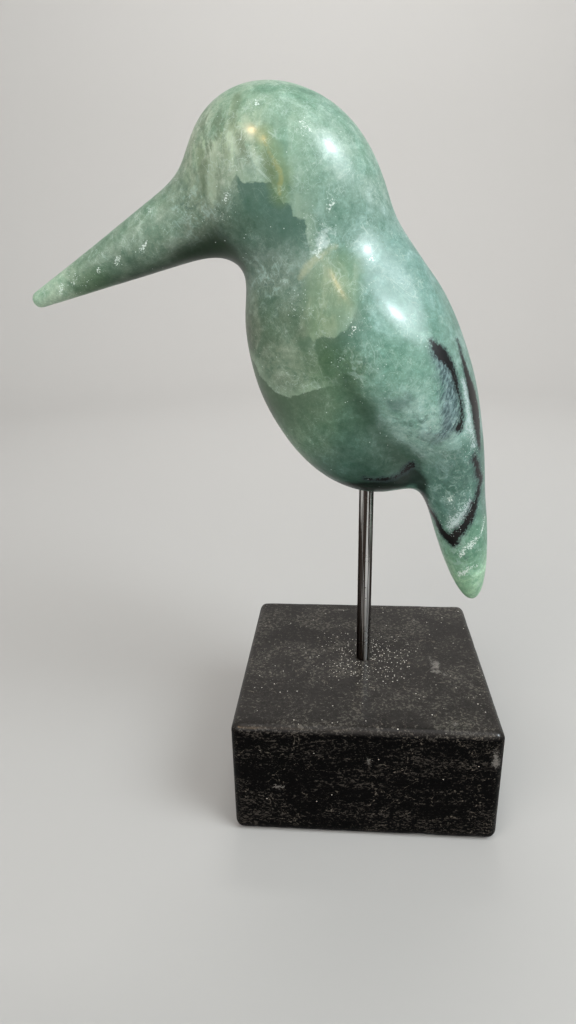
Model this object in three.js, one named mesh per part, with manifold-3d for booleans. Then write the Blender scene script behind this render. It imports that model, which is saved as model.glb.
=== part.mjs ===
// A carved stone bird on a steel rod over a square stone plinth.
// Millimetres, +Z up. The origin is the middle of the plinth's underside. The beak points along -X, and the bird's
// left and right sides mirror each other in the plane y = 0, which holds the rod.

import * as THREE from "three";
import { mergeVertices } from "three/addons/utils/BufferGeometryUtils.js";
import Module from "manifold-3d";

// Plinth: a square block with eased edges.
const plinthWidth = 105;
const plinthDepth = 105;
const plinthHeight = 51;
const plinthEdgeRadius = 3;
const plinthCornerRadius = 1; // of the flat top's outline; the upright corners add the edge radius to it
const plinthEdgeSteps = 4;

// Rod: plain round bar, set in a blind hole at each end.
const rodDiameter = 6;
const rodShown = 79.4; // from the plinth's top to the bird's underside
const rodInPlinth = 25;
const rodInBird = 28;
const socketGap = 0.3; // all round the rod and past its ends
const rodSides = 24;

// Bird: six rounded forms that run softly into each other. A form's x and z place its middle in the median plane,
// with heights above the underside of the belly. long, across and half are half lengths: along the form, across it
// in the median plane, and sideways. lean is in degrees from upright, and negative where the top leans to the beak.
const head = { x: -30.8, z: 114.4, long: 37, across: 30.3, half: 25.5, lean: -53 };
const belly = { x: -8.4, z: 52.1, long: 54.4, across: 35.5, half: 28, lean: -22.5 };
const back = { x: 22.8, z: 47.1, long: 49.1, across: 14, half: 25.5, lean: -20.5 };
const tail = { x: 32.8, z: 13.1, long: 62.9, across: 12, half: 15, lean: -12.3 };
const wing = { x: 7, z: 54, long: 38, across: 19, half: 21.5, lean: -39, outwards: 12 };
const beak = { tipX: -127.3, tipZ: 77.2, tipRadius: 3.1, rootX: -49.5, rootZ: 111.5, rootRadius: 16.8, flatness: 0.88 };

// How widely two forms melt into each other.
const browBlend = 16.4;
const throatBlend = 15.5;
const napeBlend = 30;
const flankBlend = 24.2;
const rumpBlend = 9.3;
const shoulderBlend = 12;
const backRidgeSoftness = 3; // rounds the meeting of the two wings along the back

// The valley rubbed between breast and wing on each side, from the neck to the root of the tail. Its path is in
// shares of the belly's half lengths, along it and across it.
const valley = {
  path: [[0.72, -0.02], [0.25, -0.2], [-0.24, -0.08], [-0.56, 0.145], [-0.8, 0.235], [-0.99, 0.18]],
  deepest: 3.4,
  depths: [0.06, 0.32, 0.65, 0.91, 1, 0.7], // shares of the deepest
  widest: 9,
  widths: [1, 1, 0.94, 0.89, 0.72, 0.56], // shares of the widest
  startsAt: 6, // sideways from the median plane, where it begins to sink in
  fullAt: 18,
};
const valleySteps = 40;

// Cuts through the bird, from beak to tail. Each goes through a place on one of the forms, in shares of the way from
// the beak's tip to its root, or of the form's half lengths along it and across it. lean is the cut's own, in degrees
// from upright. The surface is found along rays that start in the middle of each cut.
const cuts = [
  { form: beak, along: 0.42, lean: -25 },
  { form: beak, along: 0.73, lean: -32 },
  { form: head, along: 0.59, across: -0.68, lean: -14 }, // brow
  { form: head, along: 0.42, across: -0.21, lean: 9 }, // crown
  { form: head, along: 0, across: -0.05, lean: 34 },
  { form: head, along: -0.52, across: -0.29, lean: 63 }, // nape
  { form: belly, along: 0.58, across: 0.15, lean: 72 },
  { form: belly, along: 0.25, across: 0.16, lean: 80 }, // shoulders
  { form: belly, along: -0.14, across: 0.12, lean: 82 },
  { form: belly, along: -0.52, across: 0.13, lean: 78 },
  { form: belly, along: -0.86, across: 0.26, lean: 71 },
  { form: tail, along: -0.09, across: -0.51, lean: 72 }, // root of the tail
  { form: tail, along: -0.16, across: -0.06, lean: 77 },
  { form: tail, along: -0.31, across: 0.04, lean: 76 },
  { form: tail, along: -0.67, across: 0, lean: 77 },
];
const ringSides = 44;
const ringSpacing = 4.9;
const tipSpacing = 0.35; // the rings crowd together towards the tips of beak and tail
const tipGrowth = 1.5;
const curveSamples = 600; // for the length of the line of cuts
const rayStep = 2;
const solveRounds = 24;
const mergeDistance = 1e-4; // corners nearer than this are one

const wasm = await Module();
wasm.setup();

function toSolid(geometry) {
  const bare = geometry.clone();
  bare.deleteAttribute("normal");
  bare.deleteAttribute("uv");
  const merged = mergeVertices(bare, mergeDistance);
  return new wasm.Manifold(new wasm.Mesh({
    numProp: 3,
    vertProperties: Float32Array.from(merged.attributes.position.array),
    triVerts: Uint32Array.from(merged.index.array),
  }));
}

function toGeometry(solid) {
  const mesh = solid.getMesh();
  const geometry = new THREE.BufferGeometry();
  geometry.setAttribute("position", new THREE.BufferAttribute(Float32Array.from(mesh.vertProperties), 3));
  geometry.setIndex(new THREE.BufferAttribute(Uint32Array.from(mesh.triVerts), 1));
  return geometry;
}

// An upright round bar or drill, from bottom to top on the rod's axis.
function uprightCylinder(radius, bottom, top) {
  const geometry = new THREE.CylinderGeometry(radius, radius, top - bottom, rodSides);
  geometry.rotateX(Math.PI / 2);
  geometry.translate(0, 0, (bottom + top) / 2);
  return geometry;
}

function drilled(geometry, bottom, top) {
  const drill = uprightCylinder(rodDiameter / 2 + socketGap, bottom, top);
  return toGeometry(toSolid(geometry).subtract(toSolid(drill)));
}

// Distance to a form with three half lengths, negative inside it.
function eggDistance(form, x, y, z) {
  const lean = THREE.MathUtils.degToRad(form.lean);
  const dx = x - form.x;
  const dz = z - form.z;
  const along = dx * Math.sin(lean) + dz * Math.cos(lean);
  const across = dx * Math.cos(lean) - dz * Math.sin(lean);
  const reach = Math.hypot(along / form.long, across / form.across, y / form.half);
  const slope = Math.hypot(along / form.long ** 2, across / form.across ** 2, y / form.half ** 2);
  return slope === 0 ? -form.across : (reach * (reach - 1)) / slope;
}

// Distance to the beak, a tapered form with a round tip, negative inside it.
function beakDistance(x, y, z) {
  const dx = beak.rootX - beak.tipX;
  const dz = beak.rootZ - beak.tipZ;
  const length = Math.hypot(dx, dz);
  const along = ((x - beak.tipX) * dx + (z - beak.tipZ) * dz) / length;
  const sideways = Math.hypot(((x - beak.tipX) * dz - (z - beak.tipZ) * dx) / length, y / beak.flatness);
  const sine = (beak.rootRadius - beak.tipRadius) / length;
  const cosine = Math.sqrt(1 - sine * sine);
  const rise = along * cosine + sideways * sine; // along the cone's side
  if (rise < 0) return Math.hypot(along, sideways) - beak.tipRadius;
  if (rise > length * cosine) return Math.hypot(along - length, sideways) - beak.rootRadius;
  return sideways * cosine - along * sine - beak.tipRadius;
}

// The smaller of two distances, rounded where they are nearly alike.
function melt(a, b, blend) {
  const near = Math.max(blend - Math.abs(a - b), 0) / blend;
  return Math.min(a, b) - (near ** 3 * blend) / 6;
}

// A direction in the median plane, leaning from upright towards the tail.
function leaning(degrees) {
  const lean = THREE.MathUtils.degToRad(degrees);
  return new THREE.Vector3(Math.sin(lean), 0, Math.cos(lean));
}

// A place in the median plane, in shares of a form's sizes.
function placeOn(form, along, across) {
  if (form === beak) {
    const [tip, root] = [new THREE.Vector3(beak.tipX, 0, beak.tipZ), new THREE.Vector3(beak.rootX, 0, beak.rootZ)];
    return tip.lerp(root, along);
  }
  return new THREE.Vector3(form.x, 0, form.z)
    .addScaledVector(leaning(form.lean), along * form.long)
    .addScaledVector(leaning(form.lean + 90), across * form.across);
}

const valleyCurve = new THREE.CatmullRomCurve3(valley.path.map((place) => placeOn(belly, ...place)));
const valleyLine = valleyCurve.getPoints(valleySteps);

function valueAlong(list, share) {
  const place = share * (list.length - 1);
  const first = Math.min(Math.floor(place), list.length - 2);
  return THREE.MathUtils.lerp(list[first], list[first + 1], place - first);
}

function valleyDepth(x, y, z) {
  let nearest = Infinity;
  let share = 0;
  for (let i = 0; i < valleySteps; i++) {
    const a = valleyLine[i];
    const b = valleyLine[i + 1];
    const lengthSquared = (b.x - a.x) ** 2 + (b.z - a.z) ** 2;
    const on = THREE.MathUtils.clamp(((x - a.x) * (b.x - a.x) + (z - a.z) * (b.z - a.z)) / lengthSquared, 0, 1);
    const distance = Math.hypot(x - a.x - on * (b.x - a.x), z - a.z - on * (b.z - a.z));
    if (distance < nearest) {
      nearest = distance;
      share = (i + on) / valleySteps;
    }
  }
  const outwards = THREE.MathUtils.smoothstep(Math.abs(y), valley.startsAt, valley.fullAt);
  const depth = valley.deepest * valueAlong(valley.depths, share);
  const width = valley.widest * valueAlong(valley.widths, share);
  return depth * Math.exp(-((nearest / width) ** 2)) * outwards;
}

// Distance to the whole bird, negative inside it.
function birdDistance(x, y, z) {
  const wingSide = Math.hypot(y, backRidgeSoftness) - wing.outwards;
  const rump = melt(eggDistance(back, x, y, z), eggDistance(tail, x, y, z), rumpBlend);
  const mantle = melt(rump, eggDistance(wing, x, wingSide, z), shoulderBlend);
  const body = melt(eggDistance(belly, x, y, z), mantle, flankBlend);
  const face = melt(eggDistance(head, x, y, z), beakDistance(x, y, z), browBlend);
  const toNape = THREE.MathUtils.clamp((x - beak.rootX) / (head.long + belly.across / 2), 0, 1);
  const neckBlend = THREE.MathUtils.lerp(throatBlend, napeBlend, toNape);
  return melt(face, body, neckBlend) + valleyDepth(x, y, z);
}

// The point where a ray from inside the bird comes out.
function surfaceFrom(start, direction) {
  const at = (distance) => start.clone().addScaledVector(direction, distance);
  const outside = (distance) => {
    const p = at(distance);
    return birdDistance(p.x, p.y, p.z) > 0;
  };
  let far = rayStep;
  while (!outside(far)) far += rayStep;
  let near = far - rayStep;
  for (let i = 0; i < solveRounds; i++) {
    const middle = (near + far) / 2;
    if (outside(middle)) far = middle;
    else near = middle;
  }
  return at((near + far) / 2);
}

// Places from 0 to 1 along a line of the given length, close together at both ends.
function gradedPlaces(length) {
  const fromEnd = [];
  let step = tipSpacing;
  let place = step;
  while (step < ringSpacing) {
    fromEnd.push(place);
    step = Math.min(step * tipGrowth, ringSpacing);
    place += step;
  }
  const last = fromEnd[fromEnd.length - 1];
  const count = Math.round((length - 2 * last) / ringSpacing);
  const middle = [];
  for (let i = 1; i < count; i++) middle.push(last + ((length - 2 * last) * i) / count);
  return [...fromEnd, ...middle, ...fromEnd.map((p) => length - p).reverse()].map((p) => p / length);
}

function makeBird() {
  const beakLine = new THREE.Vector3(beak.tipX - beak.rootX, 0, beak.tipZ - beak.rootZ).normalize();
  const beakTip = surfaceFrom(new THREE.Vector3(beak.tipX, 0, beak.tipZ), beakLine);
  const tailTip = surfaceFrom(placeOn(tail, 0, 0), leaning(tail.lean + 180));

  const sideOfCut = (turn) => cuts.map((c) => surfaceFrom(placeOn(c.form, c.along, c.across), leaning(c.lean + turn)));
  const fronts = new THREE.CatmullRomCurve3([beakTip, ...sideOfCut(180), tailTip]);
  const backs = new THREE.CatmullRomCurve3([beakTip, ...sideOfCut(0), tailTip]);
  const lengths = [0];
  for (let i = 1; i <= curveSamples; i++) {
    const [t0, t1] = [(i - 1) / curveSamples, i / curveSamples];
    const frontStep = fronts.getPoint(t0).distanceTo(fronts.getPoint(t1));
    const backStep = backs.getPoint(t0).distanceTo(backs.getPoint(t1));
    lengths.push(lengths[i - 1] + Math.max(frontStep, backStep));
  }
  const total = lengths[curveSamples];

  const positions = [beakTip];
  const places = gradedPlaces(total);
  for (const place of places) {
    const next = lengths.findIndex((l) => l >= place * total);
    const share = (place * total - lengths[next - 1]) / (lengths[next] - lengths[next - 1]);
    const t = (next - 1 + share) / curveSamples;
    const front = fronts.getPoint(t);
    const upwards = backs.getPoint(t).sub(front);
    const middle = front.clone().addScaledVector(upwards, 0.5);
    upwards.normalize();
    for (let j = 0; j < ringSides; j++) {
      const angle = (2 * Math.PI * j) / ringSides;
      const direction = upwards.clone().multiplyScalar(Math.cos(angle));
      direction.y = Math.sin(angle);
      positions.push(surfaceFrom(middle, direction));
    }
  }
  positions.push(tailTip);

  const faces = [];
  const corner = (ring, j) => 1 + ring * ringSides + (j % ringSides);
  const end = positions.length - 1;
  for (let j = 0; j < ringSides; j++) {
    faces.push(0, corner(0, j), corner(0, j + 1));
    faces.push(end, corner(places.length - 1, j + 1), corner(places.length - 1, j));
    for (let ring = 0; ring + 1 < places.length; ring++) {
      const [a, b, c, d] = [corner(ring, j), corner(ring, j + 1), corner(ring + 1, j + 1), corner(ring + 1, j)];
      faces.push(a, c, b, a, d, c);
    }
  }
  const geometry = new THREE.BufferGeometry().setFromPoints(positions);
  geometry.setIndex(faces);

  // The rod's axis goes through the origin, so the bird is set down there.
  const inside = new THREE.Vector3(0, 0, belly.z);
  const underside = surfaceFrom(inside, new THREE.Vector3(0, 0, -1)).z;
  const seat = plinthHeight + rodShown;
  geometry.translate(0, 0, seat - underside);
  return drilled(geometry, seat - rodDiameter, seat + rodInBird + socketGap);
}

function makePlinth() {
  const x = plinthWidth / 2 - plinthEdgeRadius - plinthCornerRadius;
  const y = plinthDepth / 2 - plinthEdgeRadius - plinthCornerRadius;
  const quarter = Math.PI / 2;
  const outline = new THREE.Shape();
  [[x, y], [-x, y], [-x, -y], [x, -y]].forEach(([cornerX, cornerY], turn) => {
    outline.absarc(cornerX, cornerY, plinthCornerRadius, turn * quarter, (turn + 1) * quarter);
  });
  outline.closePath();
  const block = new THREE.ExtrudeGeometry(outline, {
    depth: plinthHeight - 2 * plinthEdgeRadius,
    bevelThickness: plinthEdgeRadius,
    bevelSize: plinthEdgeRadius,
    bevelSegments: plinthEdgeSteps,
    curveSegments: plinthEdgeSteps,
  });
  block.translate(0, 0, plinthEdgeRadius);
  return drilled(block, plinthHeight - rodInPlinth - socketGap, plinthHeight + rodDiameter);
}

function makeRod() {
  return uprightCylinder(rodDiameter / 2, plinthHeight - rodInPlinth, plinthHeight + rodShown + rodInBird);
}

const paleGreenStone = new THREE.MeshStandardMaterial({ color: 0x8fb3a0, roughness: 0.25, metalness: 0 });
const darkStone = new THREE.MeshStandardMaterial({ color: 0x3a3431, roughness: 0.6, metalness: 0 });
const steel = new THREE.MeshStandardMaterial({ color: 0x9b9793, roughness: 0.3, metalness: 1 });

function named(name, geometry, material) {
  geometry.computeVertexNormals();
  const mesh = new THREE.Mesh(geometry, material);
  mesh.name = name;
  return mesh;
}

const sculpture = new THREE.Group();
sculpture.add(
  named("bird", makeBird(), paleGreenStone),
  named("mounting_rod", makeRod(), steel),
  named("plinth", makePlinth(), darkStone),
);

export default sculpture;
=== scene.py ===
import math

import bmesh
import bpy
import numpy as np
from mathutils import Matrix, Vector, noise


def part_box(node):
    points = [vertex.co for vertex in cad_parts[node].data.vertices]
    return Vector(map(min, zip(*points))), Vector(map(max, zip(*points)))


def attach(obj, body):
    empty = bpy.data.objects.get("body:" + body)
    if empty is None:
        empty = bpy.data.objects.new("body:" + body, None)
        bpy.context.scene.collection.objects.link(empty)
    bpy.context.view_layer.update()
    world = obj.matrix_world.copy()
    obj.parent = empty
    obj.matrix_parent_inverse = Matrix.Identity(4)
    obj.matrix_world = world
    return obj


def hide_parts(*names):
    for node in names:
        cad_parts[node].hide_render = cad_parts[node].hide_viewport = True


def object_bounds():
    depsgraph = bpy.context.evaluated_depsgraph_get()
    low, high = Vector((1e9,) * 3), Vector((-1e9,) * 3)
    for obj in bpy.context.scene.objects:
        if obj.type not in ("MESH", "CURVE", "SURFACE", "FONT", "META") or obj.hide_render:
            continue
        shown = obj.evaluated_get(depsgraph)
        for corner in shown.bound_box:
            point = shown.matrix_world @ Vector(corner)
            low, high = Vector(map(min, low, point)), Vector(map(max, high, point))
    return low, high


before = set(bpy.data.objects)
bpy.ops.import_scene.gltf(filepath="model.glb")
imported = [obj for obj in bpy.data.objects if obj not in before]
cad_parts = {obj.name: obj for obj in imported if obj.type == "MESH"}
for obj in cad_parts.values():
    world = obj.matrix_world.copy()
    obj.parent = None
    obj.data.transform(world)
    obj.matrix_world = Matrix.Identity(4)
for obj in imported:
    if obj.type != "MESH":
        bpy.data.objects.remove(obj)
cadLow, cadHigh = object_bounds()
mm = 0.001
noise.seed_set(4)  # unseeded, the borders of the colour patches would wander differently in each run

# Camera: the photograph's own view

photoView = {
    "place": (-9.14, -268.4, 217.5),  # mm
    "pitch": 19.86,  # degrees down
    "yaw": -5.01,
    "roll": 1.21,
    "focalPixels": 679.9,
    "longSide": 1024,
    "sensor": 36.0,
}


def newObject(name, data):
    made = bpy.data.objects.new(name, data)
    bpy.context.scene.collection.objects.link(made)
    return made


def makeCamera(view):
    pitch, yaw, roll = (math.radians(view[k]) for k in ("pitch", "yaw", "roll"))
    forward = Vector((math.sin(yaw) * math.cos(pitch), math.cos(yaw) * math.cos(pitch), -math.sin(pitch)))
    right = Vector((math.cos(yaw), -math.sin(yaw), 0))
    down = forward.cross(right)
    side = math.cos(roll) * right + math.sin(roll) * down
    up = math.sin(roll) * right - math.cos(roll) * down
    data = bpy.data.cameras.new("photoCamera")
    data.sensor_width = view["sensor"]
    data.lens = view["focalPixels"] * view["sensor"] / view["longSide"]
    data.clip_start = 0.01
    camera = newObject("photoCamera", data)
    turn = Matrix((side, up, -forward)).transposed().to_4x4()
    camera.matrix_world = Matrix.Translation(Vector(view["place"]) * mm) @ turn
    bpy.context.scene.camera = camera


# Small helpers for node trees


def linear(red, green, blue):
    def channel(value):
        share = value / 255
        return share / 12.92 if share <= 0.04045 else ((share + 0.055) / 1.055) ** 2.4
    return (channel(red), channel(green), channel(blue), 1.0)


def isSocket(value):
    return isinstance(value, bpy.types.NodeSocket)


def feed(socket, value):  # a link from another node, or a plain value
    if isSocket(value):
        value.id_data.links.new(value, socket)
    else:
        socket.default_value = value


def addNode(kind, inputs, tree=None, **settings):  # in the tree given, or in that of its linked inputs
    tree = tree or next(value.id_data for value in inputs.values() if isSocket(value))
    node = tree.nodes.new("ShaderNode" + kind)
    for name, value in settings.items():
        setattr(node, name, value)
    for key, value in inputs.items():
        feed(node.inputs[key], value)
    return node


def maths(operation, a, b=0.0):
    return addNode("Math", {0: a, 1: b}, operation=operation).outputs[0]


def plus(a, b):
    return maths("ADD", a, b)


def minus(a, b):
    return maths("SUBTRACT", a, b)


def times(a, b):
    return maths("MULTIPLY", a, b)


def fade(value, low, high, top=1.0):  # 0 at low and top at high, whichever of them is the larger
    flipped = low > high
    inputs = {"Value": value, "From Min": min(low, high), "From Max": max(low, high)}
    inputs |= {"To Min": top if flipped else 0.0, "To Max": 0.0 if flipped else top}
    return addNode("MapRange", inputs, interpolation_type="SMOOTHSTEP").outputs[0]


def blend(share, a, b, how="MIX"):
    return addNode("Mix", {0: share, 6: a, 7: b}, data_type="RGBA", blend_type=how).outputs[2]


def cloud(vector, size, detail=3.0, roughness=0.55, distortion=0.0):  # size of the blobs in mm
    inputs = {"Vector": vector, "Scale": 1 / (size * mm), "Detail": detail, "Roughness": roughness,
              "Distortion": distortion}
    return addNode("TexNoise", inputs).outputs[0]


def stretched(vector, turn, scale):  # turned by degrees, then squeezed, for a pattern with a grain
    radians = [math.radians(a) for a in turn]
    turned = addNode("Mapping", {"Vector": vector, "Rotation": radians})
    return addNode("Mapping", {"Vector": turned.outputs[0], "Scale": scale}).outputs[0]


def attribute(place, name, output="Fac"):  # in the tree that place is in
    settings = {"attribute_name": name, "attribute_type": "GEOMETRY"}
    return addNode("Attribute", {}, place.id_data, **settings).outputs[output]


def newGroup(name, inputs, outputs):  # the input called Vector is a place, and every other socket is a number
    tree = bpy.data.node_groups.new(name, "ShaderNodeTree")
    for labels, way in ((inputs, "INPUT"), (outputs, "OUTPUT")):
        for label in labels:
            kind = "NodeSocketVector" if label == "Vector" else "NodeSocketFloat"
            tree.interface.new_socket(label, in_out=way, socket_type=kind)
    return tree, tree.nodes.new("NodeGroupInput"), tree.nodes.new("NodeGroupOutput")


def newMaterial(name):  # and the place that its patterns are read from
    material = bpy.data.materials.new(name)
    material.use_nodes = True
    material.node_tree.nodes.clear()
    return material, addNode("TexCoord", {}, material.node_tree).outputs["Object"]


def addSurface(look, colour, dulling, relief, coat=0.0):  # the roughness follows the cloud dulling
    smooth, dull = look["roughness"]
    gloss = addNode("MapRange", {"Value": dulling, "To Min": smooth, "To Max": dull}).outputs[0]
    depth, strength = look["relief"]
    bump = addNode("Bump", {"Height": relief, "Distance": depth * mm, "Strength": strength}).outputs[0]
    inputs = {"Base Color": colour, "Roughness": gloss, "Normal": bump, "Coat Weight": coat, **look["shader"]}
    surface = addNode("BsdfPrincipled", inputs).outputs[0]
    addNode("OutputMaterial", {"Surface": surface})


def useGroup(group, inputs):
    return addNode("Group", inputs, node_tree=group)


# Effects that both stones share


def makeGlintGroup():
    # small bright grains, each in its own cell; Amount is the share of the cells that have one
    tree, start, end = newGroup("stoneGlints", ["Vector", "Scale", "Amount"], ["Mask"])
    cellInputs = {key: start.outputs[key] for key in ("Vector", "Scale")}
    cells = addNode("TexVoronoi", cellInputs)
    chance = addNode("SeparateColor", {0: cells.outputs["Color"]})
    picked = maths("LESS_THAN", chance.outputs[0], start.outputs["Amount"])
    smallest, growth = 0.12, 0.25  # the least grain as a share of its cell, and how much larger some are
    reach = plus(times(chance.outputs[1], growth), smallest)
    inside = maths("DIVIDE", cells.outputs["Distance"], reach)
    spot = fade(inside, 1.0, 0.45)
    feed(end.inputs["Mask"], times(picked, spot))
    return tree


def makeFibreGroup():
    # fine pale hairs of mineral that wander and cross each other, in patches
    tree, start, end = newGroup("stoneFibres", ["Vector"], ["Mask"])
    vector = start.outputs["Vector"]
    thickness = 0.014  # how far from the middle level of the cloud a hair still shows
    hairs = 0.0
    for turn, squeeze, size in (((0, 35, 20), 0.35, 4.2), ((25, -40, 0), 0.4, 3.3), ((60, 10, 15), 0.5, 2.6)):
        level = cloud(stretched(vector, turn, (1, 1, squeeze)), size, 1.5, 0.5, 0.4)
        off = maths("ABSOLUTE", minus(level, 0.5))
        hairs = maths("MAXIMUM", hairs, fade(off, thickness, 0.0))
    patches = fade(cloud(vector, 8.0, 3.0), 0.4, 0.62)
    feed(end.inputs["Mask"], times(hairs, patches))
    return tree


def makeFaultGroup():
    # a crack healed long ago: the stone is darker on one side of it and paler on the other,
    # less so further away
    inputs = ["Distance", "Weight", "Wander", "Sharpness", "Dark Reach", "Pale Reach"]
    tree, start, end = newGroup("stoneFault", inputs, ["Dark", "Pale"])
    moved = plus(start.outputs["Distance"], start.outputs["Wander"])
    for side, label in ((1.0, "Dark"), (-1.0, "Pale")):
        out = times(moved, side)
        edge = maths("DIVIDE", out, start.outputs["Sharpness"])
        step = fade(edge, -0.5, 0.5)
        far = maths("DIVIDE", out, start.outputs[label + " Reach"])
        fall = fade(far, 1.0, 0.0)
        feed(end.inputs[label], times(times(step, fall), start.outputs["Weight"]))
    return tree


# Bird: the carver's forms, in mm, with heights above the underside of the belly

birdForms = {
    "head": {"x": -30.8, "z": 114.4, "long": 37, "across": 30.3, "half": 25.5, "lean": -53},
    "belly": {"x": -8.4, "z": 52.1, "long": 54.4, "across": 35.5, "half": 28, "lean": -22.5},
    "back": {"x": 22.8, "z": 47.1, "long": 49.1, "across": 14, "half": 25.5, "lean": -20.5},
    "tail": {"x": 32.8, "z": 13.1, "long": 62.9, "across": 12, "half": 15, "lean": -12.3},
    "wing": {"x": 7, "z": 54, "long": 38, "across": 19, "half": 21.5, "lean": -39, "outwards": 12},
    "beak": {"tip": (-127.3, 77.2), "tipRadius": 3.1, "root": (-49.5, 111.5), "rootRadius": 16.8,
             "flatness": 0.88},
    "melt": {  # how widely neighbouring forms run into each other
        "brow": 16.4, "throat": 15.5, "nape": 30, "flank": 24.2, "rump": 9.3, "shoulder": 12, "backRidge": 3,
    },
    "valley": {  # between breast and wing: places along and across the belly, and depths and widths there
        "path": [(0.72, -0.02), (0.25, -0.2), (-0.24, -0.08), (-0.56, 0.145), (-0.8, 0.235), (-0.99, 0.18)],
        "deepest": 3.4,
        "depths": [0.06, 0.32, 0.65, 0.91, 1, 0.7],
        "widest": 9,
        "widths": [1, 1, 0.94, 0.89, 0.72, 0.56],
        "startsAt": 6,
        "fullAt": 18,
        "steps": 41,
    },
}
birdMesh = {
    # cuts from beak to tail: form, place along and across it in shares of its half lengths, lean in degrees
    "cuts": [
        ("beak", 0.42, 0, -25), ("beak", 0.73, 0, -32), ("head", 0.59, -0.68, -14),
        ("head", 0.42, -0.21, 9), ("head", 0, -0.05, 34), ("head", -0.52, -0.29, 63),
        ("belly", 0.58, 0.15, 72), ("belly", 0.25, 0.16, 80), ("belly", -0.14, 0.12, 82),
        ("belly", -0.52, 0.13, 78), ("belly", -0.86, 0.26, 71), ("tail", -0.09, -0.51, 72),
        ("tail", -0.16, -0.06, 77), ("tail", -0.31, 0.04, 76), ("tail", -0.67, 0, 77),
    ],
    "sides": 192,
    "spacing": 1.15,  # mm between rings
    "tipSpacing": 0.12,
    "tipGrowth": 1.3,
    "outlineSteps": 801,
    "stride": 2.0,  # mm, the first search for the surface
    "halvings": 22,  # and how often that is halved
    "wobble": 0.22,  # mm, the slight unevenness of a form rubbed smooth by hand
    "wobbleSize": 17,
}


def leaning(degrees):  # a direction in the median plane, leaning from upright towards the tail
    lean = math.radians(degrees)
    return np.array([math.sin(lean), 0, math.cos(lean)])


def placeOn(name, along, across):
    form = birdForms[name]
    if name == "beak":
        tip, root = np.array(form["tip"]), np.array(form["root"])
        x, z = tip + (root - tip) * along
        return np.array([x, 0, z])
    middle = np.array([form["x"], 0, form["z"]])
    long, wide = leaning(form["lean"]) * form["long"], leaning(form["lean"] + 90) * form["across"]
    return middle + long * along + wide * across


def eggDistance(form, x, y, z):
    lean = math.radians(form["lean"])
    dx, dz = x - form["x"], z - form["z"]
    along = dx * math.sin(lean) + dz * math.cos(lean)
    across = dx * math.cos(lean) - dz * math.sin(lean)
    long, wide, half = form["long"], form["across"], form["half"]
    reach = np.sqrt((along / long) ** 2 + (across / wide) ** 2 + (y / half) ** 2)
    slope = np.sqrt((along / long**2) ** 2 + (across / wide**2) ** 2 + (y / half**2) ** 2)
    return reach * (reach - 1) / np.maximum(slope, 1 / wide**3)


def beakDistance(x, y, z):
    form = birdForms["beak"]
    (tipX, tipZ), (rootX, rootZ) = form["tip"], form["root"]
    dx, dz = rootX - tipX, rootZ - tipZ
    length = math.hypot(dx, dz)
    along = ((x - tipX) * dx + (z - tipZ) * dz) / length
    sideways = np.hypot(((x - tipX) * dz - (z - tipZ) * dx) / length, y / form["flatness"])
    sine = (form["rootRadius"] - form["tipRadius"]) / length
    cosine = math.sqrt(1 - sine**2)
    rise = along * cosine + sideways * sine
    side = sideways * cosine - along * sine - form["tipRadius"]
    atTip = np.hypot(along, sideways) - form["tipRadius"]
    atRoot = np.hypot(along - length, sideways) - form["rootRadius"]
    return np.where(rise < 0, atTip, np.where(rise > length * cosine, atRoot, side))


def melt(a, b, width):
    near = np.maximum(width - np.abs(a - b), 0) / width
    return np.minimum(a, b) - near**3 * width / 6


def smoothLine(points, steps):  # a Catmull-Rom curve through points of any size
    points = np.asarray(points, float)
    padded = np.vstack([2 * points[0] - points[1], points, 2 * points[-1] - points[-2]])
    t = np.linspace(0, len(points) - 1, steps)
    first = np.minimum(t.astype(int), len(points) - 2)
    u = (t - first)[:, None]
    a, b, c, d = (padded[first + k] for k in range(4))
    return 0.5 * (2 * b + (c - a) * u + (2 * a - 5 * b + 4 * c - d) * u**2 + (3 * b - a - 3 * c + d) * u**3)


def smoothStep(low, high, value):
    t = np.clip((value - low) / (high - low), 0, 1)
    return t * t * (3 - 2 * t)


def lineDistance(points, line):  # to short straight steps, and how far along them the nearest place is
    nearest = np.full(len(points), np.inf)
    share = np.zeros(len(points))
    for i, (a, b) in enumerate(zip(line[:-1], line[1:])):
        step = b - a
        on = np.clip((points - a) @ step / (step @ step), 0, 1)
        distance = np.linalg.norm(points - a - on[:, None] * step, axis=1)
        closer = distance < nearest
        nearest = np.where(closer, distance, nearest)
        share = np.where(closer, (i + on) / (len(line) - 1), share)
    return nearest, share


def spread(shares, values):  # values listed at even places along a line
    return np.interp(shares, np.linspace(0, 1, len(values)), values)


valleyPlaces = [placeOn("belly", *place)[[0, 2]] for place in birdForms["valley"]["path"]]
valleyLine = smoothLine(valleyPlaces, birdForms["valley"]["steps"])


def valleyDepth(x, y, z):
    valley = birdForms["valley"]
    nearest, share = lineDistance(np.stack([x, z], 1), valleyLine)
    outwards = smoothStep(valley["startsAt"], valley["fullAt"], np.abs(y))
    depth = valley["deepest"] * spread(share, valley["depths"])
    width = valley["widest"] * spread(share, valley["widths"])
    return depth * np.exp(-((nearest / width) ** 2)) * outwards


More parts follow.
